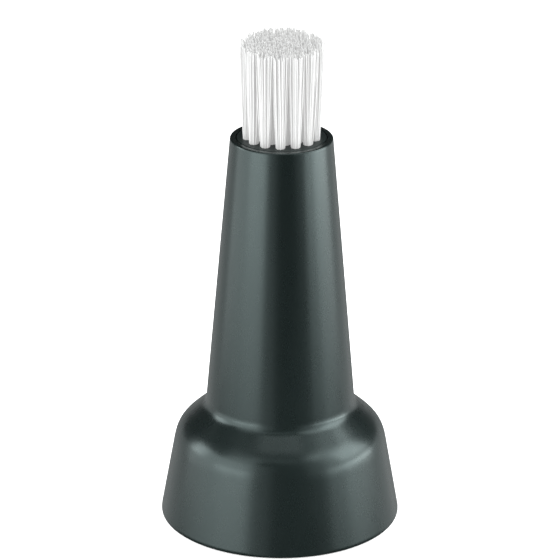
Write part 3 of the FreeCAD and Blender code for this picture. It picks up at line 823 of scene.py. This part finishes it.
@dataclass
class Brush:
    """The tufts: bundles of filament planted in the disc and cut off level."""

    foot_height: float = 87.0
    tip_height: float = 111.45
    crown: float = 0.5
    trim_slope: float = 0.08
    foot_radius: float = 0.90
    tip_radius: float = 2.05
    bundle_radius: float = 9.4
    strand_radius: float = 0.122
    strands: int = 58
    levels: int = 5
    rng: random.Random = field(default_factory=lambda: random.Random(11))

    def strand_mesh(self) -> bpy.types.Mesh:
        """Makes one straight six-sided strand from z = 0 to 1, of unit radius.

        Returns:
            A mesh with closed ends.
        """
        bm = bmesh.new()
        bmesh.ops.create_circle(bm, cap_ends=True, segments=6, radius=1.0)
        end = bmesh.ops.extrude_face_region(bm, geom=bm.faces[:], use_keep_orig=True)["geom"]
        bmesh.ops.translate(bm, vec=(0, 0, 1), verts=[v for v in end if isinstance(v, bmesh.types.BMVert)])
        sides = [e for e in bm.edges if abs(e.verts[0].co.z - e.verts[1].co.z) > 0.5]
        bmesh.ops.subdivide_edges(bm, edges=sides, cuts=self.levels - 1, use_grid_fill=True)
        bmesh.ops.recalc_face_normals(bm, faces=bm.faces)
        mesh = bpy.data.meshes.new("strand")
        bm.to_mesh(mesh)
        bm.free()
        return mesh

    def plant(self, bm: bmesh.types.BMesh, strand: bpy.types.Mesh, centre: Vector) -> None:
        """Plants one tuft, whose strands fan out to meet its neighbours' but not past the bundle's edge.

        Args:
            bm: the ring's bmesh, to add to.
            strand: one strand's mesh.
            centre: the middle of the tuft's hole.
        """
        value = bm.verts.layers.float["strand"]
        rng = self.rng
        drift = Vector((rng.gauss(0, 0.14), rng.gauss(0, 0.14)))
        for k in range(self.strands):
            share = math.sqrt((k + 0.5) / self.strands)
            angle = k * math.pi * (3 - math.sqrt(5)) + rng.uniform(-0.2, 0.2)
            way = Vector((math.cos(angle), math.sin(angle)))
            foot = centre + way * share * (self.foot_radius - self.strand_radius * 0.6)
            tip = centre + way * share * self.tip_radius + drift
            tip += Vector((rng.gauss(0, 0.28), rng.gauss(0, 0.28)))
            edge = self.bundle_radius + rng.gauss(0, 0.09)
            if tip.length > edge:
                tip *= (edge - rng.random() * 0.25) / tip.length
            bow = Vector((rng.gauss(0, 0.07), rng.gauss(0, 0.07)))
            top = self.tip_height - self.crown * (tip.length / self.bundle_radius) ** 4 + rng.gauss(0, 0.2)
            top += self.trim_slope * tip.y
            shade = rng.random() ** 2
            first = len(bm.verts)
            bm.from_mesh(strand)
            bm.verts.ensure_lookup_table()
            for v in bm.verts[first:]:
                t = v.co.z
                middle = foot.lerp(tip, t**0.8) + bow * math.sin(math.pi * t)
                spot = middle + v.co.xy * self.strand_radius
                v.co = Vector((spot.x, spot.y, self.foot_height + (top - self.foot_height) * t)) * MM
                v[value] = shade

    def ring(self, ring: TuftRing, strand: bpy.types.Mesh) -> bpy.types.Object:
        """Plants one ring of tufts.

        Args:
            ring: the ring.
            strand: one strand's mesh.

        Returns:
            The ring as one object.
        """
        bm = bmesh.new()
        bm.verts.layers.float.new("strand")
        for turn in around(ring.count, ring.turned):
            self.plant(bm, strand, (turn @ Vector((ring.radius, 0, 0))).xy)
        return finish_mesh(bm, f"{ring.node}_filaments", 50.0)

    def build(self) -> None:
        """Makes and dresses the tufts."""
        strand = self.strand_mesh()
        for ring in TUFT_RINGS:
            deliver(self.ring(ring, strand), Finish.TUFT, Body.SPINDLE, ring.node)
        bpy.data.meshes.remove(strand)


# --- Pieces inside the skirt --------------------------------------------------------------------


def block(
    bm: bmesh.types.BMesh, size: Sequence[float], centre: Sequence[float], turn: Matrix
) -> None:
    """Adds a block to a bmesh.

    Args:
        bm: the bmesh to add to.
        size: its lengths along X, Y and Z before it is turned, in millimetres.
        centre: its middle before it is turned.
        turn: a turn about Z.
    """
    stretch = Matrix.Diagonal((*(Vector(size) * MM), 1.0))
    place = turn @ Matrix.Translation(Vector(centre) * MM) @ stretch
    bmesh.ops.create_cube(bm, size=1.0, matrix=place)


@dataclass
class ToolAdapter:
    """The moulding that takes the tool's neck: collar, plate and rear bearing tube."""

    bore: float = 15.7
    outer: float = 17.9
    bottom: float = 1.5
    plate_bottom: float = 20.05
    plate_top: float = 22.45
    edge: float = 0.6
    tube_radius: float = 7.5
    tube_top: float = 32.05
    bush_radius: float = 4.52
    flange_bore: float = 6.05
    flange_seat: float = 23.05
    snap_height: float = 9.0
    snap_depth: float = 1.1
    snap_half: float = 0.8
    seal_height: float = 13.0
    seal_depth: float = 1.3
    seal_half: float = 0.95
    ribs: int = 3
    rib_thickness: float = 1.6
    rib_root: float = 6.7
    rib_reach: float = 6.0
    rib_sunk: float = 0.6
    slot_width: float = 5.0
    slot_depth: float = 4.6
    screw_circle: float = 13.1
    screw_turn: float = 60.0
    hole_radius: float = 1.5

    def groove(self, height: float, depth: float, half: float) -> list[Corner]:
        """The corners of a groove in the bore, from its upper side down."""
        return [
            Corner(self.bore, height + half, 0.12),
            Corner(self.bore + depth, height + half, 0.2),
            Corner(self.bore + depth, height - half, 0.2),
            Corner(self.bore, height - half, 0.12),
        ]

    def moulding(self) -> bpy.types.Object:
        """Turns the collar, plate and tube.

        Returns:
            The moulding, without ribs, slots or holes.
        """
        corners = [
            Corner(self.bore, self.bottom, self.edge),
            Corner(self.outer, self.bottom, 0.3),
            Corner(self.outer, self.plate_top, self.edge),
            Corner(self.tube_radius, self.plate_top, 0.5),
            Corner(self.tube_radius, self.tube_top, 0.3),
            Corner(self.bush_radius, self.tube_top, 0.2),
            Corner(self.bush_radius, self.flange_seat),
            Corner(self.flange_bore, self.flange_seat),
            Corner(self.flange_bore, self.plate_bottom, 0.2),
            Corner(self.bore, self.plate_bottom, 0.4),
            *self.groove(self.seal_height, self.seal_depth, self.seal_half),
            *self.groove(self.snap_height, self.snap_depth, self.snap_half),
        ]
        return finish_mesh(turned(Outline(corners, arc_steps=5), 192), "adapter_moulding")

    def gussets(self) -> bpy.types.Object:
        """Makes the three-cornered ribs between the plate and the tube.

        Returns:
            The ribs, each separate and closed.
        """
        low, tip = self.plate_top - self.rib_sunk, self.rib_root + self.rib_reach
        outline = [
            (self.rib_root, low),
            (tip, low),
            (tip, self.plate_top),
            (self.rib_root, self.plate_top + self.rib_reach),
        ]
        return plates("adapter_ribs", outline, self.rib_thickness, around(self.ribs))

    def cuts(self) -> bpy.types.Object:
        """Makes the cutters for the key slots and the screw holes.

        Returns:
            The cutters, each separate and closed.
        """
        bm = bmesh.new()
        slot = (self.outer - self.bore + 2 * OVERCUT, self.slot_width, self.slot_depth + OVERCUT)
        middle = ((self.outer + self.bore) / 2, 0, self.bottom + (self.slot_depth - OVERCUT) / 2)
        for turn in around(self.ribs):
            block(bm, slot, middle, turn)
        thickness = self.plate_top - self.plate_bottom
        for turn in around(self.ribs, self.screw_turn):
            spot = turn @ Vector((self.screw_circle, 0, self.plate_bottom + thickness / 2)) * MM
            peg(bm, self.hole_radius, thickness + 2 * OVERCUT, Matrix.Translation(spot))
        return finish_mesh(bm, "adapter_cuts")

    def build(self) -> None:
        """Makes and dresses the adapter."""
        adapter = self.moulding()
        combine(adapter, [self.gussets()], "UNION")
        combine(adapter, [self.cuts()], "DIFFERENCE")
        deliver(adapter, Finish.ADAPTER, Body.HOUSING, "tool_adapter")


@dataclass
class AdapterScrews:
    """The pan-head screws, with a cross recess in each head."""

    count: int = 3
    circle: float = 13.1
    turned_by: float = 60.0
    seat: float = 20.05
    head_height: float = 1.6
    head_radius: float = 2.2
    shank_radius: float = 1.25
    shank_end: float = 26.65
    recess_length: float = 2.6
    recess_width: float = 0.7
    recess_depth: float = 0.9

    def one(self) -> bpy.types.Object:
        """Makes one screw on the Z axis.

        Returns:
            The screw, its head down.
        """
        low = self.seat - self.head_height
        corners = [
            Corner(0.0, low),
            Corner(self.head_radius, low, 1.0),
            Corner(self.head_radius, self.seat, 0.1),
            Corner(self.shank_radius, self.seat),
            Corner(self.shank_radius, self.shank_end, 0.5),
            Corner(0.0, self.shank_end),
        ]
        screw = finish_mesh(turned(Outline(corners, closed=False, arc_steps=6), 48), "screw")
        for turn in (Matrix.Identity(4), Matrix.Rotation(math.pi / 2, 4, "Z")):
            bm = bmesh.new()
            block(bm, (self.recess_length, self.recess_width, 2 * self.recess_depth), (0, 0, low), turn)
            combine(screw, [finish_mesh(bm, "recess")], "DIFFERENCE")
        return screw

    def build(self) -> None:
        """Makes and dresses the screws as one piece."""
        screw = self.one()
        bm = bmesh.new()
        for turn in around(self.count, self.turned_by):
            first = len(bm.verts)
            bm.from_mesh(screw.data)
            bm.verts.ensure_lookup_table()
            place = turn @ Matrix.Translation((self.circle * MM, 0, 0))
            bmesh.ops.transform(bm, matrix=place, verts=bm.verts[first:])
        bpy.data.objects.remove(screw)
        deliver(finish_mesh(bm, "pan_head_screws"), Finish.ZINC, Body.HOUSING, "adapter_screws")


@dataclass
class RoundWire:
    """A ring of round section, open or closed.

    Attributes:
        name: the piece's name.
        node: the solid that it stands for.
        finish: its finish.
        ring_radius: radius to the middle of the section.
        height: height of that middle.
        wire_radius: the section's radius.
        sweep: degrees that it goes round, 360 for a closed ring.
        steps: steps to the sweep.
        end_edge: share of the section's radius that an open ring's ends are rounded by.
    """

    name: str
    node: str
    finish: Finish
    ring_radius: float
    height: float
    wire_radius: float
    sweep: float = 360.0
    steps: int = 144
    end_edge: float = 0.25

    def build(self) -> None:
        """Makes and dresses the ring."""
        bm = bmesh.new()
        spot = Matrix.Translation(Vector((self.ring_radius, 0, self.height)) * MM)
        place = spot @ Matrix.Rotation(math.pi / 2, 4, "X")
        bmesh.ops.create_circle(bm, segments=20, radius=self.wire_radius * MM, matrix=place)
        bmesh.ops.spin(bm, geom=bm.verts[:] + bm.edges[:], cent=(0, 0, 0), axis=(0, 0, 1),
                       angle=math.radians(self.sweep), steps=self.steps, use_merge=self.sweep >= 360.0)
        open_edges = [e for e in bm.edges if e.is_boundary]
        if open_edges:
            ends = bmesh.ops.holes_fill(bm, edges=open_edges, sides=0)["faces"]
            rims = list({e for face in ends for e in face.edges})
            bmesh.ops.bevel(bm, geom=rims, offset=self.end_edge * self.wire_radius * MM, segments=2,
                            profile=0.5, affect="EDGES", material=-1)
        deliver(finish_mesh(bm, self.name), self.finish, Body.HOUSING, self.node)


@dataclass
class DriveSocket:
    """The sintered socket that the tool's hexagonal spindle enters."""

    bottom: float = 8.95
    radius: float = 7.02
    edge: float = 0.8
    step: float = 17.05
    neck_radius: float = 5.3
    top: float = 20.15
    hex_flats: float = 8.0
    hex_top: float = 16.45
    shaft_bore: float = 2.52
    shaft_flat: float = 2.02
    pin_height: float = 18.85
    pin_radius: float = 1.02

    def cutters(self) -> list[bpy.types.Object]:
        """Makes the cutters for the hexagon, the shaft's bore and the pin's hole.

        Returns:
            The cutters.
        """
        lead = bmesh.new()
        low = self.bottom - 2 * OVERCUT
        peg(lead, self.hex_flats / math.sqrt(3), self.hex_top - low,
            Matrix.Translation((0, 0, (low + self.hex_top) / 2 * MM)), segments=6)
        bore = bmesh.new()
        peg(bore, self.shaft_bore, self.top - self.hex_top + 2 * OVERCUT,
            Matrix.Translation((0, 0, (self.top + self.hex_top) / 2 * MM)), segments=64)
        bmesh.ops.bisect_plane(bore, geom=bore.verts[:] + bore.edges[:] + bore.faces[:],
                               plane_co=(self.shaft_flat * MM, 0, 0), plane_no=(1, 0, 0), clear_outer=True)
        bmesh.ops.holes_fill(bore, edges=[e for e in bore.edges if e.is_boundary], sides=0)
        cross = bmesh.new()
        height = Matrix.Translation((0, 0, self.pin_height * MM))
        peg(cross, self.pin_radius, 2.4 * self.neck_radius, height @ Matrix.Rotation(math.pi / 2, 4, "Y"))
        made = {"hexagon": lead, "shaft_bore": bore, "pin_hole": cross}
        return [finish_mesh(bm, name) for name, bm in made.items()]

    def build(self) -> None:
        """Makes and dresses the socket."""
        corners = [
            Corner(0.0, self.bottom),
            Corner(self.radius, self.bottom, self.edge),
            Corner(self.radius, self.step, self.edge),
            Corner(self.neck_radius, self.step, 0.4),
            Corner(self.neck_radius, self.top, 0.3),
            Corner(0.0, self.top),
        ]
        socket = finish_mesh(turned(Outline(corners, closed=False, arc_steps=5), 96), "hex_socket")
        for cutter in self.cutters():
            combine(socket, [cutter], "DIFFERENCE")
        deliver(socket, Finish.SINTERED, Body.SPINDLE, "drive_socket")


RINGS = (
    RoundWire("snap_wire", "snap_ring", Finish.SPRING, 16.08, 9.0, 0.7, 325.0),
    RoundWire("neck_cord", "neck_seal", Finish.RUBBER, 16.13, 13.0, 0.85),
)


# --- Studio -------------------------------------------------------------------------------------


@dataclass(frozen=True)
class SoftBox:
    """A panel of light that stands round the head and faces the shaft's axis.

    Attributes:
        name: its name.
        azimuth: degrees round from the camera's side, positive to the right.
        spread: degrees of the circle that it fills.
        low: height of its lower edge, in metres.
        high: height of its upper edge.
        radiance: how bright its face is, where 1 is plain white.
    """

    name: str
    azimuth: float
    spread: float
    low: float
    high: float
    radiance: float

    def build(self, distance: float, tint: Colour) -> None:
        """Hangs the panel.

        Args:
            distance: metres from the shaft's axis.
            tint: colour of its light.
        """
        light = bpy.data.lights.new(self.name, "AREA")
        light.shape = "RECTANGLE"
        light.size = 2 * distance * math.tan(math.radians(self.spread / 2))
        light.size_y = self.high - self.low
        light.energy = self.radiance * math.pi * light.size * light.size_y
        light.color = tint
        panel = bpy.data.objects.new(self.name, light)
        a = math.radians(self.azimuth)
        outward = Vector((math.sin(a), -math.cos(a), 0.0))
        panel.location = outward * distance + Vector((0.0, 0.0, (self.low + self.high) / 2))
        panel.rotation_mode = "QUATERNION"
        panel.rotation_quaternion = outward.to_track_quat("Z", "Y")
        panel.visible_camera = False
        bpy.context.scene.collection.objects.link(panel)


@dataclass
class Studio:
    """A pale floor, a ring of soft boxes and the camera."""

    aim: Vector = field(default_factory=lambda: Vector((-0.0002, 0.0, 0.0558)))
    distance: float = 0.831
    elevation: float = 21.68
    lens: float = 240.2
    roll: float = 0.28
    floor_radius: float = 4.0
    floor_gap: float = 0.0002
    floor_colour: Colour = (0.80, 0.80, 0.80)
    floor_glow: float = 0.75
    room: float = 0.05
    fill: float = 1.2
    ring: float = 0.4
    tint: Colour = (0.965, 1.0, 1.0)
    overhead_size: float = 0.4
    overhead_height: float = 0.7
    overhead_radiance: float = 1.6
    sensor_width: float = 36.0
    boxes: tuple[SoftBox, ...] = (
        SoftBox("left_key_low", -50, 40, -0.08, 0.0, 2.0),
        SoftBox("left_key", -50, 40, 0.0, 0.06, 4.2),
        SoftBox("left_key_upper", -50, 40, 0.06, 0.26, 2.3),
        SoftBox("left_key_high", -50, 40, 0.26, 0.45, 1.5),
        SoftBox("left_side", -80, 20, -0.08, 0.26, 1.9),
        SoftBox("left_rim_low", -100, 20, -0.08, 0.06, 1.7),
        SoftBox("left_rim", -100, 20, 0.06, 0.26, 4.2),
        SoftBox("left_back", -130, 40, -0.20, 0.06, 0.5),
        SoftBox("left_top", -55, 50, 0.45, 0.70, 0.7),
        SoftBox("left_front", -20, 20, -0.20, 0.26, 0.42),
        SoftBox("right_front", 40, 20, 0.0, 0.45, 0.46),
        SoftBox("right_edge_low", 60, 20, -0.08, 0.0, 0.8),
        SoftBox("right_edge", 60, 20, 0.0, 0.06, 3.6),
        SoftBox("right_edge_upper", 60, 20, 0.06, 0.45, 1.5),
        SoftBox("right_key_low", 90, 40, -0.08, 0.0, 1.85),
        SoftBox("right_key", 90, 40, 0.0, 0.06, 6.5),
        SoftBox("right_key_upper", 90, 40, 0.06, 0.14, 2.5),
        SoftBox("right_key_high", 90, 40, 0.14, 0.45, 4.5),
        SoftBox("right_back", 130, 40, -0.20, 0.06, 0.6),
        SoftBox("right_top", 65, 50, 0.45, 0.70, 2.1),
        SoftBox("front_top", -10, 60, 0.45, 0.70, 0.45),
        SoftBox("back", 180, 60, -0.20, 0.06, 0.35),
    )

    def floor(self) -> None:
        """Lays the floor: a lit table that glossy rays and shadow rays from below pass through."""
        bm = bmesh.new()
        bmesh.ops.create_circle(bm, cap_ends=True, segments=96, radius=self.floor_radius,
                                matrix=Matrix.Translation((0, 0, -self.floor_gap)))
        made = finish_mesh(bm, "floor")
        g = Graph("floor_paper")
        g.set(Roughness=0.9, Specular_IOR_Level=0.0, Emission_Strength=self.floor_glow)
        mottle = g.noise(6.0, 3.0)
        paler = tuple(min(1.0, c * 1.015) for c in self.floor_colour)
        colour = g.blend(mottle, self.floor_colour, paler)
        g.drive("Base Color", colour)
        g.drive("Emission Color", colour)
        made.data.materials.append(g.material)
        made.visible_glossy = False
        made.visible_shadow = False

    def overhead(self) -> None:
        """Hangs one square panel straight above."""
        light = bpy.data.lights.new("overhead", "AREA")
        light.size = self.overhead_size
        light.energy = self.overhead_radiance * math.pi * light.size**2
        panel = bpy.data.objects.new("overhead", light)
        panel.location = (0.0, 0.0, self.overhead_height)
        panel.visible_camera = False
        bpy.context.scene.collection.objects.link(panel)

    def world(self) -> None:
        """Fills the room: white to the camera, a soft fill on matt surfaces, and dim in reflections."""
        world = bpy.data.worlds.new("room")
        world.use_nodes = True
        nodes, links = world.node_tree.nodes, world.node_tree.links
        nodes.clear()
        rays, output = nodes.new("ShaderNodeLightPath"), nodes.new("ShaderNodeOutputWorld")
        shades = []
        for strength in (self.room, self.fill, 1.0):
            shade = nodes.new("ShaderNodeBackground")
            shade.inputs["Color"].default_value = (1.0, 1.0, 1.0, 1.0)
            shade.inputs["Strength"].default_value = strength
            shades.append(shade.outputs["Background"])
        result = shades[0]
        for ray, shade in zip(("Is Diffuse Ray", "Is Camera Ray"), shades[1:]):
            pick = nodes.new("ShaderNodeMixShader")
            links.new(rays.outputs[ray], pick.inputs["Fac"])
            links.new(result, pick.inputs[1])
            links.new(shade, pick.inputs[2])
            result = pick.outputs["Shader"]
        links.new(result, output.inputs["Surface"])
        world.cycles.sampling_method = "NONE"
        bpy.context.scene.world = world

    def camera(self) -> None:
        """Sets up the camera."""
        lens = bpy.data.cameras.new("camera")
        lens.lens = self.lens
        lens.sensor_width = self.sensor_width
        lens.clip_start, lens.clip_end = 0.01, 50.0
        made = bpy.data.objects.new("camera", lens)
        e = math.radians(self.elevation)
        back = Vector((0.0, -math.cos(e), math.sin(e)))
        look = (-back).to_track_quat("-Z", "Y").to_matrix().to_4x4()
        spot = Matrix.Translation(self.aim + back * self.distance)
        made.matrix_world = spot @ look @ Matrix.Rotation(math.radians(self.roll), 4, "Z")
        bpy.context.scene.collection.objects.link(made)
        bpy.context.scene.camera = made

    def build(self) -> None:
        """Sets the whole stage."""
        self.camera()
        self.world()
        self.floor()
        for box in self.boxes:
            box.build(self.ring, self.tint)
        self.overhead()
        bpy.context.scene.view_settings.view_transform = "Standard"


CARRIED: dict[str, Finish] = {
    "front_bush": Finish.BUSH,
    "rear_bush": Finish.BUSH,
    "nose_seal": Finish.RUBBER,
    "thrust_washer": Finish.GROUND,
    "rear_washer": Finish.GROUND,
    "tuft_anchors": Finish.BRASS,
    "drive_shaft": Finish.GROUND,
    "shaft_circlip": Finish.SPRING,
    "socket_pin": Finish.SPRING,
}


def dress_carried() -> None:
    """Gives the solids that stay as they are their finishes."""
    for node, finish in CARRIED.items():
        dress(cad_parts[node], finish)


def main() -> None:
    """Builds the head and its stage."""
    logging.basicConfig(level=logging.INFO, format="%(message)s")
    Guard().build()
    BrushDisc().build()
    Brush().build()
    ToolAdapter().build()
    AdapterScrews().build()
    DriveSocket().build()
    for ring in RINGS:
        ring.build()
    dress_carried()
    Studio().build()


if __name__ == "__main__":
    main()
